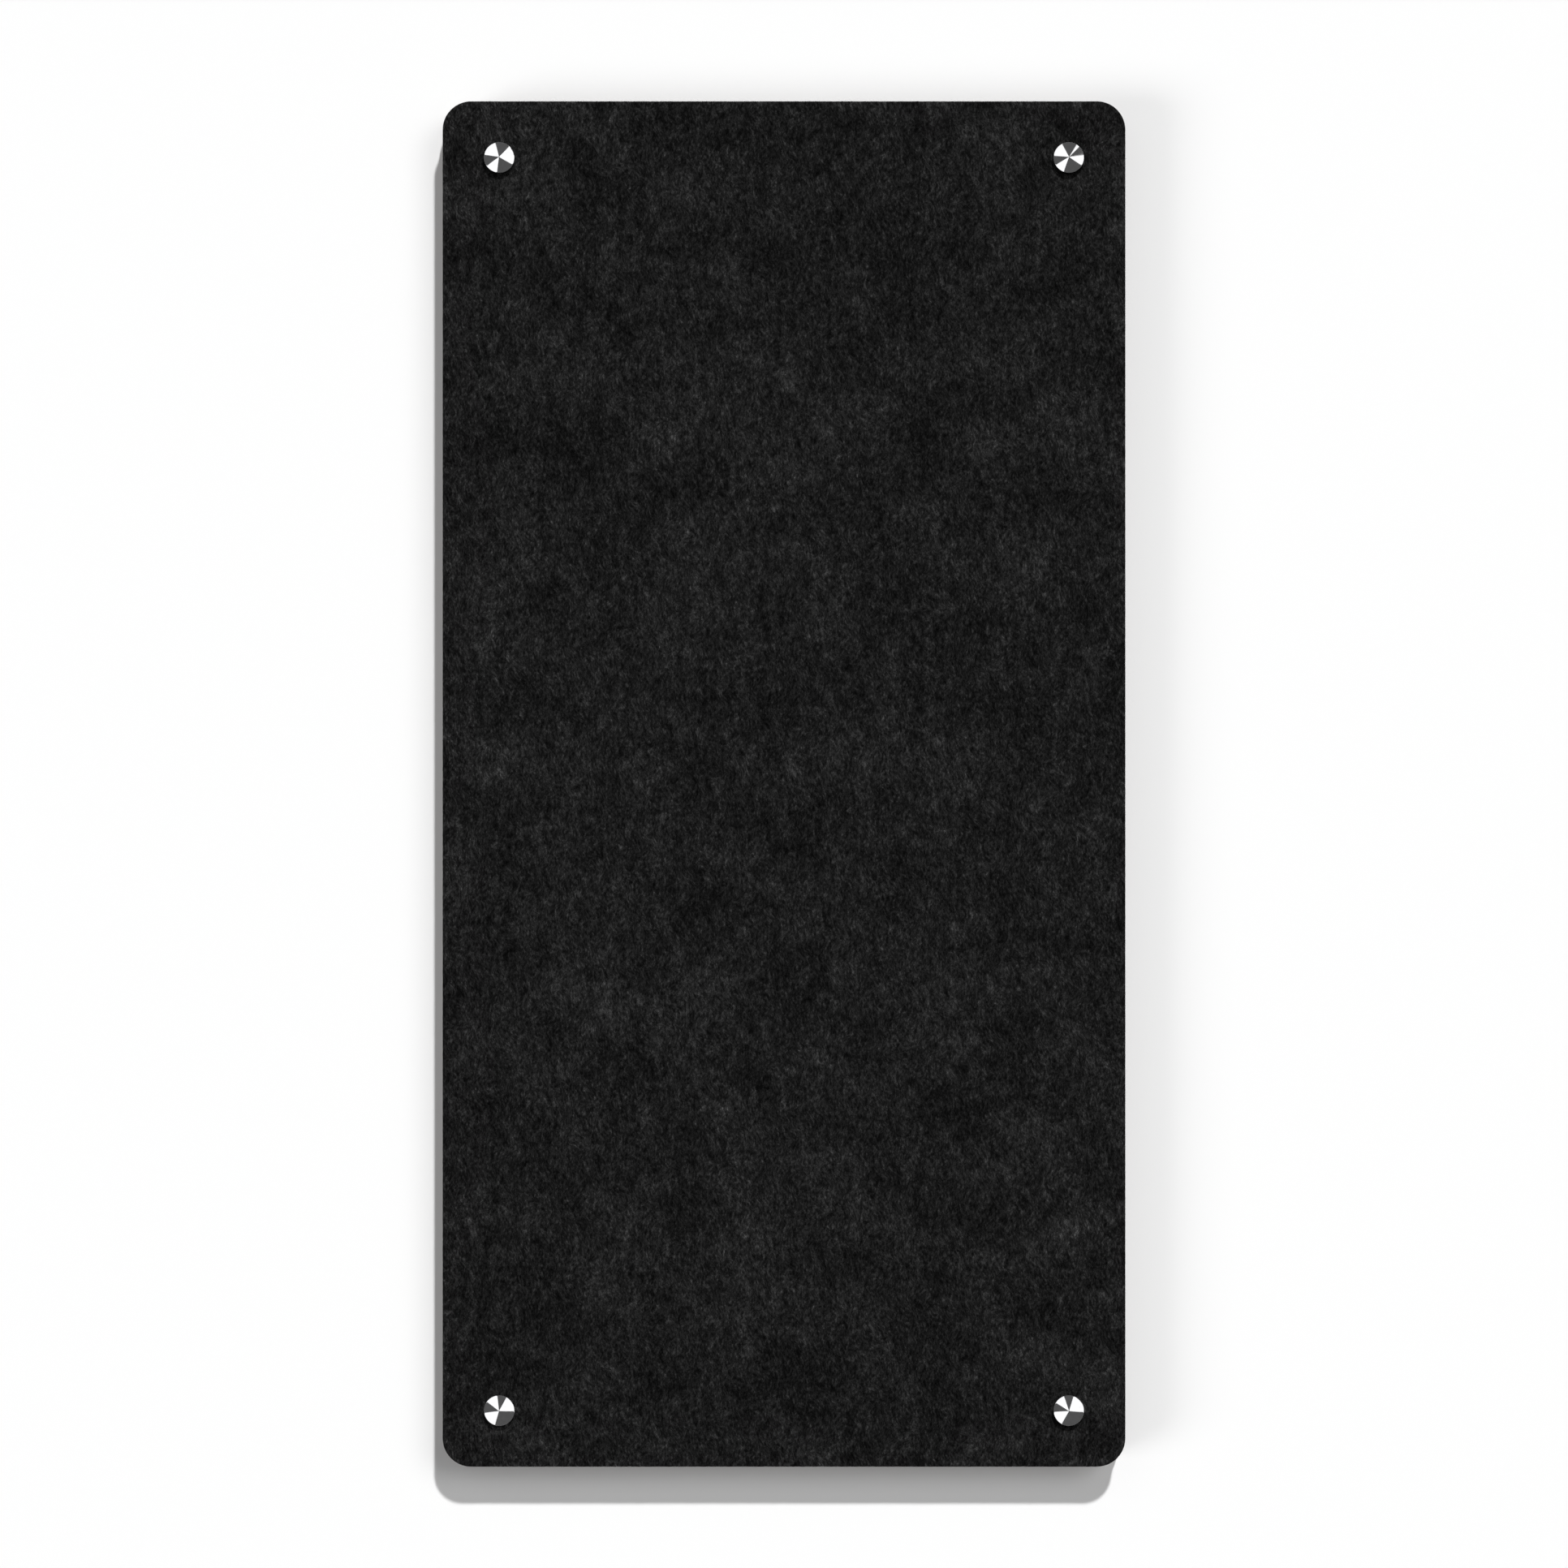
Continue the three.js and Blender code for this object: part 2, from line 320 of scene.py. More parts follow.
def panel_outline(inset, step):
    """(x, z) points round the panel's edge, with arcs at the corners. The count is the same at
    every inset."""
    radius = CORNER_RADIUS - inset
    mid_x, mid_z = HALF_WIDTH - CORNER_RADIUS, HALF_HEIGHT - CORNER_RADIUS
    arc_cuts = math.ceil(CORNER_RADIUS * TURN / 4 / step)
    points = []
    for quarter, (side_x, side_z) in enumerate(((1, 1), (-1, 1), (-1, -1), (1, -1))):
        angles = TURN / 4 * (quarter + np.arange(arc_cuts + 1) / arc_cuts)
        arc_x = side_x * mid_x + radius * np.cos(angles)
        arc_z = side_z * mid_z + radius * np.sin(angles)
        arc = np.stack([arc_x, arc_z], axis=1)
        length = 2 * (mid_z if quarter % 2 else mid_x)
        cuts = math.ceil(length / step)
        onward = np.array([-math.sin(angles[-1]), math.cos(angles[-1])])
        straight = arc[-1] + np.outer(np.arange(1, cuts) / cuts * length, onward)
        points += [arc, straight]
    return np.concatenate(points)


def hole_outline(corner, radius, cuts=48):
    angles = TURN * np.arange(cuts) / cuts
    x, z = CENTRES[corner]
    return np.stack([x + radius * np.cos(angles), z + radius * np.sin(angles)], axis=1)


def edge_distance(points):
    """How far (x, z) points lie inside the panel's rounded outline."""
    beyond = np.abs(points) - (HALF_WIDTH - CORNER_RADIUS, HALF_HEIGHT - CORNER_RADIUS)
    outside = np.linalg.norm(np.maximum(beyond, 0), axis=1)
    return CORNER_RADIUS - outside - np.minimum(beyond.max(axis=1), 0)


def axis_distance(points):
    """How far (x, z) points lie from the nearest stand-off's axis."""
    axes = np.array(list(CENTRES.values()))
    return np.linalg.norm(points[:, None] - axes[None], axis=2).min(axis=1)


def filled(loops, inner, edge, hole, squeeze=1.0):
    """Triangles between an outer loop and hole loops, through inner points.
    squeeze shortens Z while the triangles are chosen, so that they come out longer that way."""
    starts = np.cumsum([0] + [len(loop) for loop in loops])
    edges = [
        (int(start) + i, int(start) + (i + 1) % len(loop))
        for start, loop in zip(starts, loops)
        for i in range(len(loop))
    ]
    points = np.concatenate([*loops, inner])
    squeezed = [Vector(p) for p in points * (1, squeeze)]
    made = delaunay_2d_cdt(squeezed, edges, [], 0, 1e-9)
    if len(made[0]) != len(points):
        raise ValueError("the fill changed the points")
    triangles = np.array(made[2])
    middles = points[triangles].mean(axis=1)
    kept = (edge_distance(middles) > edge) & (axis_distance(middles) > hole)
    return points, triangles[kept]


def panel_layer(front_points, rims, holes, step, squeeze=1.0):
    """Points and faces of a closed layer of the panel. rims holds (inset, depth) rings of its edge
    and holes (radius, depth) rings of its holes, both from the front to the back."""
    loops = [panel_outline(rims[0][0], step)]
    loops += [hole_outline(corner, holes[0][0]) for corner in CORNERS]
    flat, triangles = filled(loops, front_points, rims[0][0], holes[0][0], squeeze)
    points = [np.insert(flat, 1, -rims[0][1], axis=1)]
    faces = triangles.tolist()
    starts = np.cumsum([0] + [len(loop) for loop in loops])
    total = len(flat)
    back_loops, back_numbers = [], []
    for k, start in enumerate(starts[:-1]):
        numbers = start + np.arange(len(loops[k]))
        for size, depth in (holes if k else rims)[1:]:
            ring = hole_outline(CORNERS[k - 1], size) if k else panel_outline(size, step)
            points.append(np.insert(ring, 1, -depth, axis=1))
            below = total + np.arange(len(ring))
            quads = (numbers, np.roll(numbers, -1), np.roll(below, -1), below)
            faces += np.stack(quads, axis=1).tolist()
            numbers, total = below, total + len(ring)
        back_loops.append(ring)
        back_numbers.append(numbers)
    _, triangles = filled(back_loops, np.zeros((0, 2)), rims[-1][0], holes[-1][0])
    faces += np.concatenate(back_numbers)[triangles].tolist()
    return np.concatenate(points), faces


def waves(points, size_x, size_z, seed):
    """Smooth noise from -1 to 1 over (x, z) points, with clumps of the given sizes."""
    return np.array([noise.noise((x / size_x, z / size_z, seed)) for x, z in points])


# ---- Felt ----

FELT_STEP = np.array([1.8, 5.0]) * MM  # between the points of its face
FELT_EDGE = 1.6 * MM  # that those points keep off its edges
DIMPLE_DEPTH = 0.35 * MM
DIMPLE_RADIUS = 24 * MM


def felt_rise(points):
    """How far the felt's face stands out at (x, z) points: uneven needling, and dimples where
    the caps press on it."""
    clumps = waves(points, 26 * MM, 34 * MM, 1.5) * 0.14
    clumps += waves(points, 4 * MM, 13 * MM, 4.5) * 0.12
    span = (DIMPLE_RADIUS - axis_distance(points)) / (DIMPLE_RADIUS - CAP_RADIUS)
    pressed = np.clip(span, 0, 1) ** 2
    return clumps * MM * (1 - pressed) - DIMPLE_DEPTH * pressed


def make_felt():
    """The felt sheet: an uneven face, softened front edges and slightly ragged sides."""
    random = np.random.default_rng(11)
    across = np.arange(-HALF_WIDTH, HALF_WIDTH, FELT_STEP[0])
    up = np.arange(-HALF_HEIGHT, HALF_HEIGHT, FELT_STEP[1])
    grid = np.stack(np.meshgrid(across, up), axis=-1).reshape(-1, 2)
    grid += random.uniform(-0.35, 0.35, grid.shape) * FELT_STEP
    kept = (edge_distance(grid) > FELT_EDGE) & (axis_distance(grid) > HOLE_RADIUS + FELT_EDGE)
    back, front = FELT
    rims = [(0.6 * MM, front), (0.15 * MM, front - 0.12 * MM), (0, front - 0.45 * MM)]
    rims += [(0.05 * MM, depth) for depth in np.linspace(front - 1 * MM, back, 5)]
    holes = [(HOLE_RADIUS, front), (HOLE_RADIUS, back)]
    points, faces = panel_layer(grid[kept], rims, holes, 2 * MM, FELT_STEP[0] / FELT_STEP[1])
    flat = points[:, [0, 2]]
    closeness = (-points[:, 1] - back) / (front - back)
    points[:, 1] -= felt_rise(flat) * closeness
    on_side = edge_distance(flat) < 0.5 * MM
    ragged = 0.12 * MM * np.array([noise.noise(p / (1.6 * MM)) for p in points])
    outward = flat / np.linalg.norm(flat, axis=1, keepdims=True)
    points[:, [0, 2]] += outward * (ragged * on_side)[:, None]
    return make_piece("felt", points, faces, felt, "panel", "felt_face")


def strands(name, lines, thickness):
    """Fine closed fibres along lines, an array of (fibre, point, xyz), thinner at both ends."""
    count, steps = lines.shape[:2]
    along = np.gradient(lines, axis=1)
    along /= np.linalg.norm(along, axis=2, keepdims=True)
    side = np.cross(along, (0.29, -0.9, 0.31))
    side /= np.linalg.norm(side, axis=2, keepdims=True)
    lift = np.cross(along, side)
    taper = np.sin(np.linspace(0.3, math.pi - 0.3, steps)) ** 0.5
    radius = (thickness / 2 * taper)[None, :, None]
    rings = [
        lines + radius * (math.cos(angle) * side + math.sin(angle) * lift)
        for angle in (0, TURN / 3, 2 * TURN / 3)
    ]
    points = np.stack(rings, axis=2).reshape(-1, 3)
    start = 3 * np.arange(count * steps).reshape(count, steps)
    low, high = start[:, :-1].ravel(), start[:, 1:].ravel()
    faces = []
    for k in range(3):
        j = (k + 1) % 3
        faces += np.stack([low + k, low + j, high + j, high + k], axis=1).tolist()
    for ends in (start[:, 0], start[:, -1]):
        faces += np.stack([ends, ends + 1, ends + 2], axis=1).tolist()
    return make_piece(name, points, faces, fibre, "panel")


def make_loose_fibres(count=2600, steps=5):
    """Long fibres that lie on the felt, mostly upright."""
    random = np.random.default_rng(23)
    reach = np.array([HALF_WIDTH, HALF_HEIGHT])
    roots = random.uniform(-1, 1, (2 * count, 2)) * reach
    clear = (edge_distance(roots) > 14 * MM) & (axis_distance(roots) > CAP_RADIUS + 14 * MM)
    roots = roots[clear][:count]
    count = len(roots)
    lean = random.normal(0, math.radians(24), (count, 1))
    bend = random.normal(0, math.radians(18), (count, 1))
    place = np.linspace(-0.5, 0.5, steps)[None]
    angle = lean + 2 * bend * place
    length = random.uniform(7, 24, (count, 1)) * MM
    x = roots[:, :1] + np.sin(angle) * place * length
    z = roots[:, 1:] + np.cos(angle) * place * length
    rise = felt_rise(np.stack([x.ravel(), z.ravel()], axis=1)).reshape(x.shape)
    height = random.uniform(0.05, 0.35, (count, 1)) * MM * (1 - 4 * place**2) - 0.04 * MM
    lines = np.stack([x, -(FELT[1] + rise + height), z], axis=2)
    return strands("felt_loose_fibres", lines, 0.13 * MM)


def make_edge_fuzz(count=3200, steps=3):
    """Short cut fibres that stand out of the felt's sides."""
    random = np.random.default_rng(37)
    outline = panel_outline(0.25 * MM, 0.5 * MM)
    flat = outline[random.choice(len(outline), count, replace=False)]
    reach = np.array([HALF_WIDTH, HALF_HEIGHT]) - CORNER_RADIUS
    outward = flat - np.clip(flat, -reach, reach)
    outward /= np.linalg.norm(outward, axis=1, keepdims=True)
    depth = random.uniform(FELT[0] + 0.2 * MM, FELT[1] - 0.1 * MM, (count, 1))
    roots = np.concatenate([flat[:, :1], -depth, flat[:, 1:]], axis=1)
    aim = np.insert(outward, 1, 0, axis=1) + random.normal(0, 0.6, (count, 3))
    droop = random.normal(0, 0.35, (count, 3))
    length = random.uniform(0.2, 0.6, (count, 1)) * MM
    lines = [roots + length * (aim * t + droop * t * t) for t in np.linspace(0, 1, steps)]
    return strands("felt_edge_fuzz", np.stack(lines, axis=1), 0.08 * MM)


sheet = make_felt()
loose_fibres = make_loose_fibres()
edge_fuzz = make_edge_fuzz()


# ---- Foam core and backer board ----

def make_foam():
    """The foam core: a firm sheet whose cut sides are slightly hollow and pitted."""
    back, front = FOAM
    rims = [(1.0 * MM, front), (0.4 * MM, front - 0.3 * MM)]
    rims += [(0.3 * MM, depth) for depth in np.linspace(front - 1 * MM, back + 1 * MM, 8)]
    rims += [(0.4 * MM, back + 0.3 * MM), (1.0 * MM, back)]
    holes = [(HOLE_RADIUS, front), (HOLE_RADIUS, back)]
    points, faces = panel_layer(np.zeros((0, 2)), rims, holes, 2 * MM)
    flat = points[:, [0, 2]]
    through = (-points[:, 1] - back) / (front - back)
    hollow = 0.35 * np.sin(math.pi * np.clip(through, 0, 1))
    cells = np.array([noise.noise(p / (3.5 * MM)) for p in points])
    drawn_in = (hollow + 0.1 * (cells + 1)) * MM * (edge_distance(flat) < 0.5 * MM)
    points[:, [0, 2]] -= flat / np.linalg.norm(flat, axis=1, keepdims=True) * drawn_in[:, None]
    return make_piece("foam", points, faces, foam, "panel", "foam_core")


def make_backer():
    """The backer board: eased edges, chamfered holes, and a ring of points that keeps each flat."""
    back, front = BACKER
    turns = np.linspace(0, TURN / 4, 4)
    ease = 0.6 * MM
    rims = [(ease * (1 - math.sin(a)), front - ease * (1 - math.cos(a))) for a in turns]
    rims += [(ease * (1 - math.cos(a)), back + ease * (1 - math.sin(a))) for a in turns]
    rims = [(1.4 * MM, front), *rims, (1.4 * MM, back)]
    chamfered = HOLE_RADIUS + 0.4 * MM
    ringed = chamfered + 1 * MM
    holes = [(ringed, front), (chamfered, front), (HOLE_RADIUS, front - 0.4 * MM)]
    holes += [(HOLE_RADIUS, back + 0.4 * MM), (chamfered, back), (ringed, back)]
    points, faces = panel_layer(np.zeros((0, 2)), rims, holes, 4 * MM)
    return make_piece("backer", points, faces, plywood, "panel", "backer_board")


core = make_foam()
make_backer()


# ---- Turned pieces, with their sizes in mm ----

CAP_SLOPE = math.radians(15.5)
CAP_BORE_DEPTH = 5.5
CAP_POINT_RADIUS = 0.35
BARREL_FLOOR = 3.5
SEAT_RADIUS = 4.3
SCREW_HOLE_RADIUS = 2.6
THREAD_PITCH = 1.5
SCREW_PITCH = 2
RECESS_WIDTH = 0.9
RECESS_SPAN = 4.2
RECESS_DEPTH = 1.3
PLUG_RIBS = 5
PLUG_COLLAR = 10  # without ribs or slits
PLUG_SLIT_WIDTH = 1
PLUG_SLIT_SPAN = 10


def eased(profile, reach, closed):
    """Rounds a profile's corners over a reach, with a point beside each arc to keep the flats flat."""
    made = []
    for i, point in enumerate(profile):
        if not closed and i in (0, len(profile) - 1):
            made.append(point)
            continue
        before = profile[i - 1] - point
        after = profile[(i + 1) % len(profile)] - point
        shorter = min(np.linalg.norm(before), np.linalg.norm(after))
        size = min(reach, 0.25 * shorter)
        before *= size / np.linalg.norm(before)
        after *= size / np.linalg.norm(after)
        made.append(point + before * 1.8)
        made += [point + before * (1 - t) ** 2 + after * t**2 for t in (0, 1 / 3, 2 / 3, 1)]
        made.append(point + after * 1.8)
    return made


def thread_rows(radius, back, front, pitch):
    """Profile rows close enough together to carry a screw thread."""
    return [np.array([radius, depth]) for depth in np.arange(back, front, pitch / 8)]


def turned(name, corner, profile, cuts, material, body, closed, thread=None):
    """A piece turned from (radius, depth) rows. thread is (height, pitch, from depth, to depth),
    a height below zero cutting in, and it fades out over half a pitch at each end."""
    rows = np.array(profile) * MM
    angles = TURN * np.arange(cuts) / cuts
    radius = np.repeat(rows[:, :1], cuts, axis=1)
    depth = np.repeat(rows[:, 1:], cuts, axis=1)
    if thread:
        height, pitch, back, front = (value * MM for value in thread)
        phase = (depth / pitch + angles / TURN) % 1
        tooth = np.clip(1.15 - 2.3 * np.abs(phase - 0.5), 0, 1)
        fade = np.clip(np.minimum(depth - back, front - depth) / (pitch / 2), 0, 1)
        radius = radius + height * tooth * fade
    x, z = CENTRES[corner]
    rings = np.stack([x + radius * np.cos(angles), -depth, z + radius * np.sin(angles)], axis=2)
    count = len(rows)
    number = np.arange(count * cuts).reshape(count, cuts)
    onward = np.roll(number, -1, axis=0) if closed else number[1:]
    number = number if closed else number[:-1]
    quads = (number, np.roll(number, -1, axis=1), np.roll(onward, -1, axis=1), onward)
    faces = np.stack([quad.ravel() for quad in quads], axis=1).tolist()
    points = rings.reshape(-1, 3)
    return make_piece(f"{corner}_{name}", points, faces, material, body, f"{name}_{corner}")


def ring_profile(inner, outer, back, front, reach):
    corners = [(inner, back), (outer, back), (outer, front), (inner, front)]
    return eased(np.array(corners), reach, closed=True)


def apply_modifiers(piece):
    """Makes what a piece's modifiers give its own mesh."""
    bpy.context.view_layer.update()
    shown = piece.evaluated_get(bpy.context.evaluated_depsgraph_get())
    mesh = bpy.data.meshes.new_from_object(shown)
    piece.modifiers.clear()
    piece.data = mesh


def cross_cut(piece, corner, width, span, back, front):
    """Cuts two crossed bars, each width by span, out of a piece from depth back to front."""
    x, z = CENTRES[corner]
    for half_x, half_z in ((span / 2, width / 2), (width / 2, span / 2)):
        corners = [
            (x + i * half_x * MM, -depth * MM, z + j * half_z * MM)
            for depth in (back, front)
            for i, j in ((-1, -1), (1, -1), (1, 1), (-1, 1))
        ]
        sides = [(i, (i + 1) % 4, (i + 1) % 4 + 4, i + 4) for i in range(4)]
        bar = make_solid("bar", corners, [(0, 1, 2, 3), (4, 5, 6, 7), *sides])
        cut = piece.modifiers.new("Cut", "BOOLEAN")
        cut.operation = "DIFFERENCE"
        cut.object = bar
        apply_modifiers(piece)
        bpy.data.objects.remove(bar)
    piece.data.shade_smooth()
    piece.data.set_sharp_from_angle(angle=math.radians(35))


def mm_depths(name):
    """A node's back and front, free of the frame's rounding."""
    back, front = depths(name)
    return round(back / MM, 4), round(front / MM, 4)


def make_cap(corner):
    """Polished cap: blind bore (its thread not modelled), straight rim and a shallow cone for a face.
    """
    back, tip = mm_depths(f"cap_{corner}")
    outer, bore, point = CAP_RADIUS / MM, BORE_RADIUS / MM, CAP_POINT_RADIUS
    rim = tip - (outer - 0.3 - point) * math.tan(CAP_SLOPE)
    floor = back + CAP_BORE_DEPTH
    corners = [(0, floor), (bore, floor), (bore, back), (outer, back)]
    corners += [(outer, rim - 0.1), (point, tip), (0, tip)]
    rows = eased(np.array(corners), 0.45, closed=False)
    turned("cap", corner, rows, 160, polished, f"cap_stud_{corner}", False)


def make_stud(corner):
    """Threaded stud with a chamfer at both ends."""
    back, front = mm_depths(f"stud_{corner}")
    radius, chamfer = THREAD_RADIUS / MM, 0.8
    back_end = [(0, back), (radius - chamfer, back), (radius, back + chamfer)]
    front_end = [(radius, front - chamfer), (radius - chamfer, front), (0, front)]
    rows = eased(np.array(back_end), 0.2, closed=False)
    rows += thread_rows(radius, back + 0.9, front - chamfer, THREAD_PITCH)
    rows += eased(np.array(front_end), 0.2, closed=False)
    thread = (-0.85, THREAD_PITCH, back - 0.4, front + 0.4)
    turned("stud", corner, rows, 48, thread_steel, f"cap_stud_{corner}", False, thread)


def make_barrel(corner):
    """Satin stand-off: a screw seat in its floor and a threaded bore from its front."""
    back, front = mm_depths(f"barrel_{corner}")
    outer, bore = radius_of(f"barrel_{corner}") / MM, BORE_RADIUS / MM
    floor, seat, hole = BARREL_FLOOR, SEAT_RADIUS, SCREW_HOLE_RADIUS
    outside = [(hole, back), (outer - 0.5, back), (outer, back + 0.5), (outer, front - 0.5)]
    outside += [(outer - 0.5, front), (bore + 0.5, front), (bore, front - 0.5)]
    inside = [(bore, floor), (seat, floor), (hole, floor - (seat - hole))]
    rows = eased(np.array(outside), 0.25, closed=False)
    rows += thread_rows(bore, floor + 1, front - 0.7, THREAD_PITCH)[::-1]
    rows += eased(np.array(inside), 0.15, closed=False)
    thread = (0.5, THREAD_PITCH, floor + 0.5, front)
    turned("barrel", corner, rows, 80, satin, "wall_fixings", True, thread)


def make_screw(corner):
    """Countersunk wall screw with a cross recess."""
    end, front = mm_depths(f"wall_screw_{corner}")
    head, shank = radius_of(f"wall_screw_{corner}") / MM, SCREW_RADIUS / MM
    neck = front - (head - shank)
    top = [(shank, neck), (head, front - 0.2), (head, front), (0, front)]
    rows = [np.array([0.0, end])]
    for radius, depth in thread_rows(shank, end + 0.3, neck, SCREW_PITCH):
        rows.append(np.array([radius * min(1, (depth - end) / 5), depth]))
    rows += eased(np.array(top), 0.1, closed=False)
    thread = (-0.6, SCREW_PITCH, end + 2, neck - 5)
    screw = turned(
        "wall_screw", corner, rows, 40, zinc, "wall_fixings", False, thread
    )
    cross_cut(screw, corner, RECESS_WIDTH, RECESS_SPAN, front - RECESS_DEPTH, front + 1)


def make_plug(corner):
    """Nylon wall plug: ribs outside, and slits over its inner end."""
    end, mouth = mm_depths(f"wall_plug_{corner}")
    outer, bore = radius_of(f"wall_plug_{corner}") / MM, SCREW_HOLE_RADIUS
    collar, root = -PLUG_COLLAR, outer - 0.5
    pitch = (collar - end) / PLUG_RIBS
    corners = [(bore, mouth), (bore, end)]
    for rib in range(PLUG_RIBS):
        corners += [(root, end + rib * pitch), (outer, end + (rib + 0.7) * pitch)]
    corners += [(root, collar), (outer, collar + 0.3 * pitch), (outer, mouth)]
    rows = eased(np.array(corners), 0.25, closed=True)
    plug = turned("wall_plug", corner, rows, 40, plug_nylon, "wall_fixings", True)
    cross_cut(plug, corner, PLUG_SLIT_WIDTH, PLUG_SLIT_SPAN, end - 1, collar - 2)


def make_ring(name, corner, reach, material, body):
    back, front = mm_depths(f"{name}_{corner}")
    outer = radius_of(f"{name}_{corner}") / MM
    rows = ring_profile(BORE_RADIUS / MM, outer, back, front, reach)
    turned(name, corner, rows, 64, material, body, True)


for corner in CORNERS:
    make_cap(corner)
    make_stud(corner)
    make_barrel(corner)
    make_screw(corner)
    make_plug(corner)
    make_ring("barrel_gasket", corner, 0.3, rubber, "wall_fixings")
    make_ring("crush_sleeve", corner, 0.3, white_nylon, "panel")
    make_ring("cap_washer", corner, 0.3, white_nylon, f"washer_{corner}")


# ---- Wall and floor ----

def make_plane(name, corners, material):
    mesh = bpy.data.meshes.new(name)
    mesh.from_pydata(corners, [], [(0, 1, 2, 3)])
    mesh.materials.append(material)
    plane = bpy.data.objects.new(name, mesh)
    bpy.context.scene.collection.objects.link(plane)
    return plane


def wall_material():
    """White paint on the room's side. From behind, and to lamps and mirrors, the wall is clear."""
    white = (0.8, 0.8, 0.8)
    material, tree, shader = new_material("wall_paint", roughness=0.9, specular=0.1, colour=white)
    clear = node(tree, "NewGeometry", output="Backfacing")
    for ray in ("Is Shadow Ray", "Is Glossy Ray"):
        clear = calc(tree, "MAXIMUM", clear, node(tree, "LightPath", output=ray))
    mix = {0: clear, 1: shader.outputs["BSDF"], 2: node(tree, "BsdfTransparent")}
    tree.links.new(node(tree, "MixShader", mix), tree.nodes["Material Output"].inputs["Surface"])
    return material


def floor_material():
    pale = (0.75, 0.75, 0.75)
    return new_material("floor_paint", roughness=0.8, specular=0.2, colour=pale)[0]


WALL_GAP = 0.3 * MM  # behind the barrels' feet
WALL_REACH = 2.2
WALL_TOP = 1.6
FLOOR = -1.25
FLOOR_REACH = 5

wall_corners = [(-WALL_REACH, WALL_GAP, FLOOR), (WALL_REACH, WALL_GAP, FLOOR)]
wall_corners += [(WALL_REACH, WALL_GAP, WALL_TOP), (-WALL_REACH, WALL_GAP, WALL_TOP)]
floor_corners = [(-FLOOR_REACH, -FLOOR_REACH, FLOOR), (FLOOR_REACH, -FLOOR_REACH, FLOOR)]
floor_corners += [(FLOOR_REACH, FLOOR_REACH, FLOOR), (-FLOOR_REACH, FLOOR_REACH, FLOOR)]
make_plane("wall", wall_corners, wall_material())
# The floor is seen, but it sends no light to the wall or the caps, and it blocks none.
floor = make_plane("floor", floor_corners, floor_material())
floor.visible_diffuse = False
floor.visible_glossy = False
floor.visible_shadow = False


# ---- Lights ----

WINDOW_LIGHT = 1.3
WINDOWS = (
    # degrees round the axis into the room, from +X towards +Z, and degrees off that axis
    ((-160, -108), (20, 58)),
    ((-17, 60), (16, 56)),
    ((107, 159), (20, 58)),
)
WINDOW_BAR = ((19, 50), (36, 80))
OPENING_GREY = 0.1
BEHIND_GREY = 0.7
ROOM_LIGHT_SHARE = 0.35  # how much of what the caps mirror also lights the wall


def make_sun(name, travel, strength, angle):
    """A sun that shines along travel, from a disc angle degrees across. Mirrors don't show it."""
    light = bpy.data.lights.new(name, "SUN")
    light.energy = strength
    light.angle = math.radians(angle)
    lamp = bpy.data.objects.new(name, light)
    lamp.visible_glossy = False
    lamp.rotation_euler = Vector(travel).to_track_quat("-Z", "Y").to_euler()
    bpy.context.scene.collection.objects.link(lamp)


def in_range(tree, value, low, high, soft):
    """1 where a value is from low to high and 0 outside, over a soft edge."""
    rise = node(tree, "MapRange", {"Value": value, "From Min": low - soft, "From Max": low + soft})
    fall = node(tree, "MapRange", {"Value": value, "From Min": high + soft, "From Max": high - soft})
    return calc(tree, "MULTIPLY", rise, fall)


def in_window(tree, turn, tilt, ranges, soft):
    """1 where the turn and the tilt of a direction are both in their ranges."""
    across = in_range(tree, turn, *ranges[0], 1)
    return calc(tree, "MULTIPLY", across, in_range(tree, tilt, *ranges[1], soft))


def either(tree, switch, off, on):
    """off where the switch is 0, on where it is 1."""
    return node(tree, "Mix", {0: switch, 2: off, 3: on})


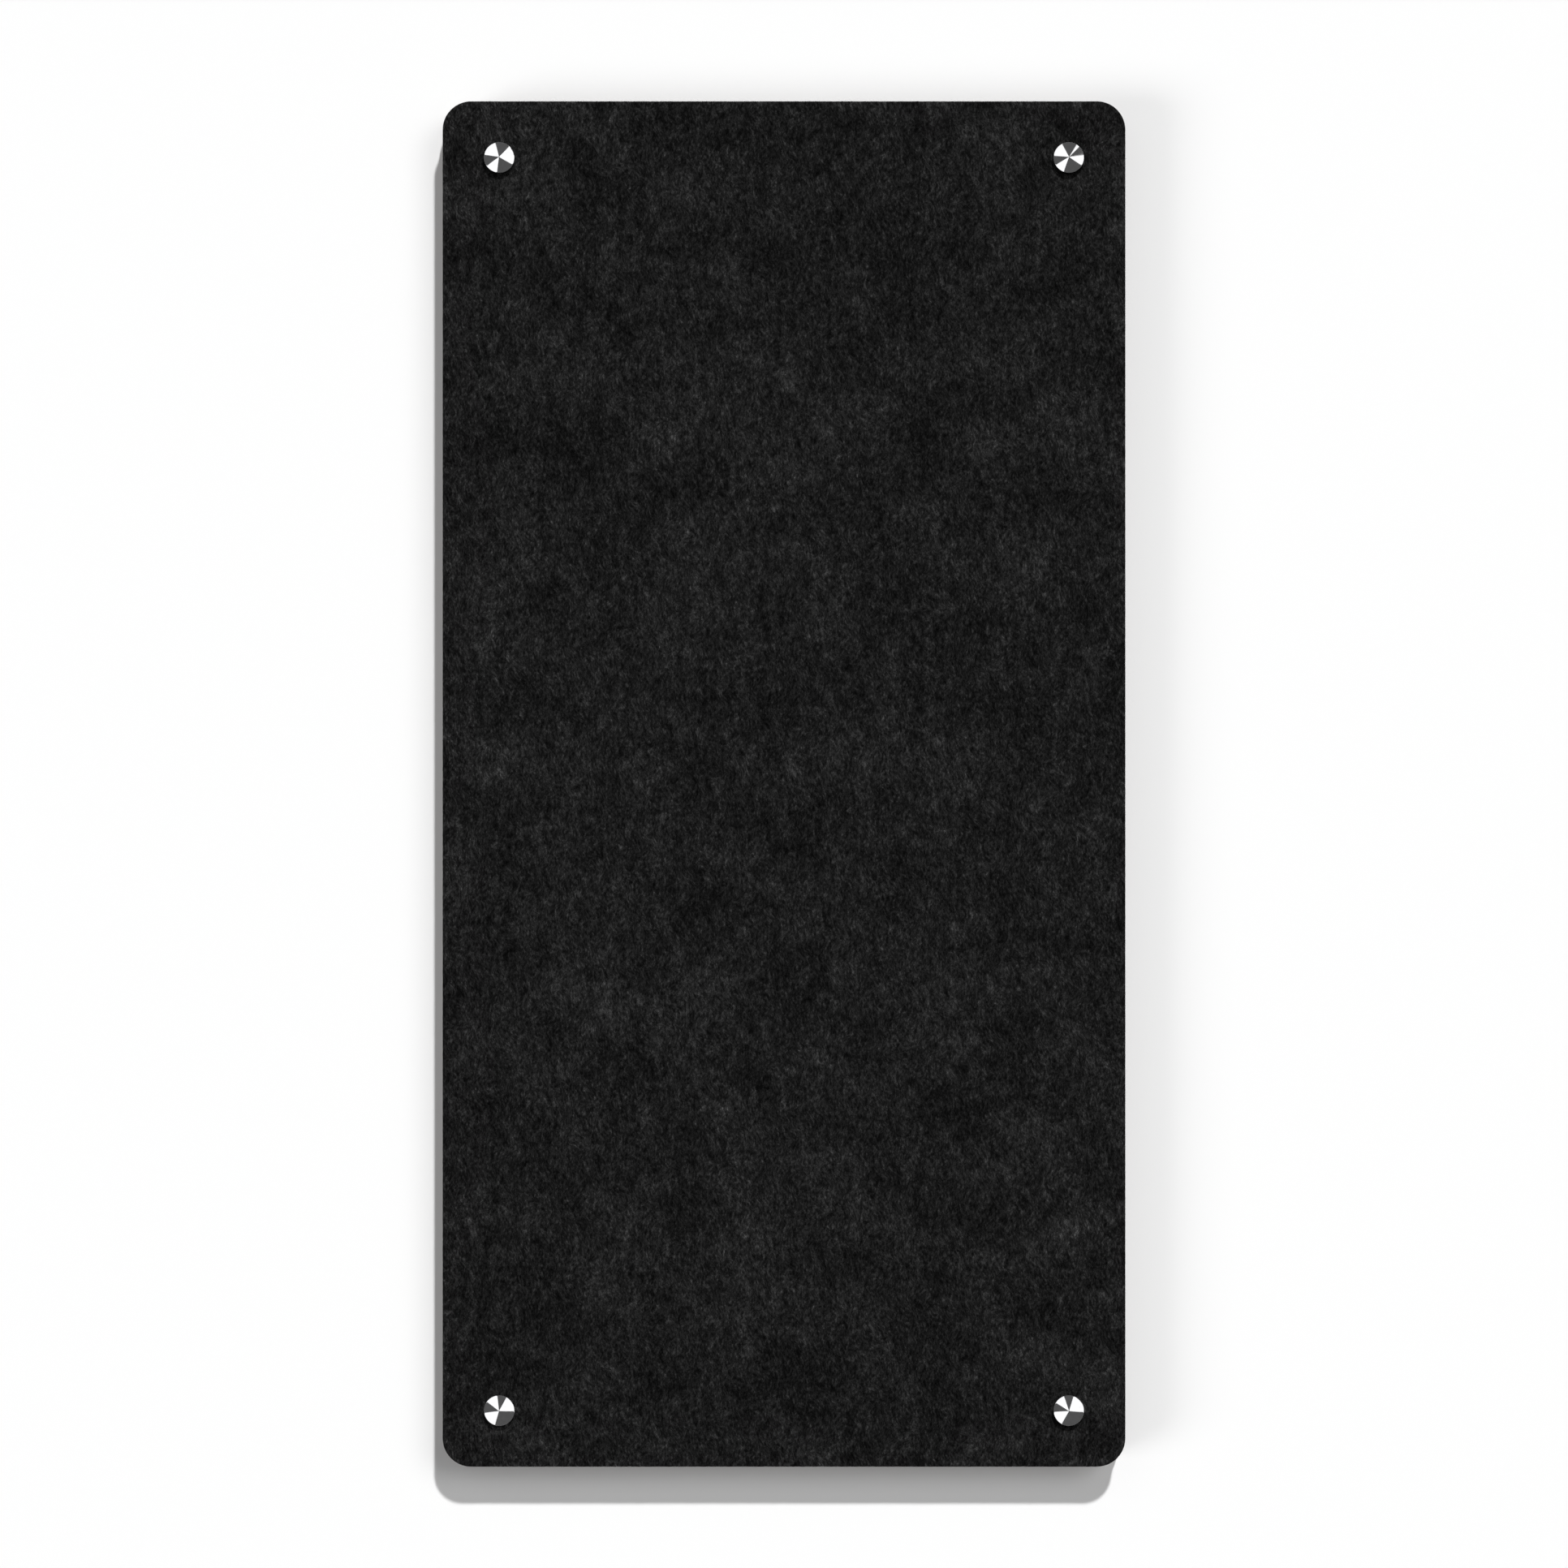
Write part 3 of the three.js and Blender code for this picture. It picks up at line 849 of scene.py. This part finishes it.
def light_room():
    """A white room with dark openings, which the caps mirror as light and dark wedges."""
    world = bpy.data.worlds.new("room")
    bpy.context.scene.world = world
    world.use_nodes = True
    tree = world.node_tree
    toward = node(tree, "TexCoord", output="Generated")
    parts = node(tree, "SeparateXYZ", {0: toward}).node.outputs
    turn = calc(tree, "DEGREES", calc(tree, "ARCTAN2", parts["Z"], parts["X"]))
    tilt = calc(tree, "DEGREES", calc(tree, "ARCCOSINE", calc(tree, "MULTIPLY", parts["Y"], -1)))
    total = OPENING_GREY
    for ranges in WINDOWS:
        window = in_window(tree, turn, tilt, ranges, 2)
        extra = calc(tree, "MULTIPLY", window, WINDOW_LIGHT - OPENING_GREY)
        total = calc(tree, "ADD", extra, total)
    bar = in_window(tree, turn, tilt, WINDOW_BAR, 0.5)
    mirrored = either(tree, bar, total, OPENING_GREY)
    spilled = calc(tree, "MULTIPLY", mirrored, ROOM_LIGHT_SHARE)
    front = either(tree, node(tree, "LightPath", output="Is Glossy Ray"), spilled, mirrored)
    room = either(tree, in_range(tree, tilt, 90, 200, 6), front, BEHIND_GREY)
    shown = either(tree, node(tree, "LightPath", output="Is Camera Ray"), room, 1.0)
    tree.links.new(shown, tree.nodes["Background"].inputs["Strength"])
    tree.nodes["Background"].inputs["Color"].default_value = (1, 1, 1, 1)


make_sun("key", travel=(-10.2, 40, -38.2), strength=3.26, angle=3)
make_sun("from_left", travel=(0.8, 0.55, 0.27), strength=1.1, angle=27)
make_sun("round_key", travel=(-0.47, 0.82, -0.32), strength=0.64, angle=27)
make_sun("from_behind", travel=(20, -40, -25), strength=1.2, angle=20)
light_room()


# ---- Camera ----

CAMERA_DISTANCE = 4.5  # from the felt
VIEW_WIDTH = 1.378  # of the picture, at the felt
SENSOR_WIDTH = 36

lens = bpy.data.cameras.new("camera")
lens.sensor_width = SENSOR_WIDTH
lens.lens = SENSOR_WIDTH * CAMERA_DISTANCE / VIEW_WIDTH
lens.clip_end = 50
camera = bpy.data.objects.new("camera", lens)
camera.location = (0, -(FELT[1] + CAMERA_DISTANCE), 0)
camera.rotation_euler = (TURN / 4, 0, 0)
bpy.context.scene.collection.objects.link(camera)
bpy.context.scene.camera = camera
bpy.context.scene.view_settings.view_transform = "Standard"
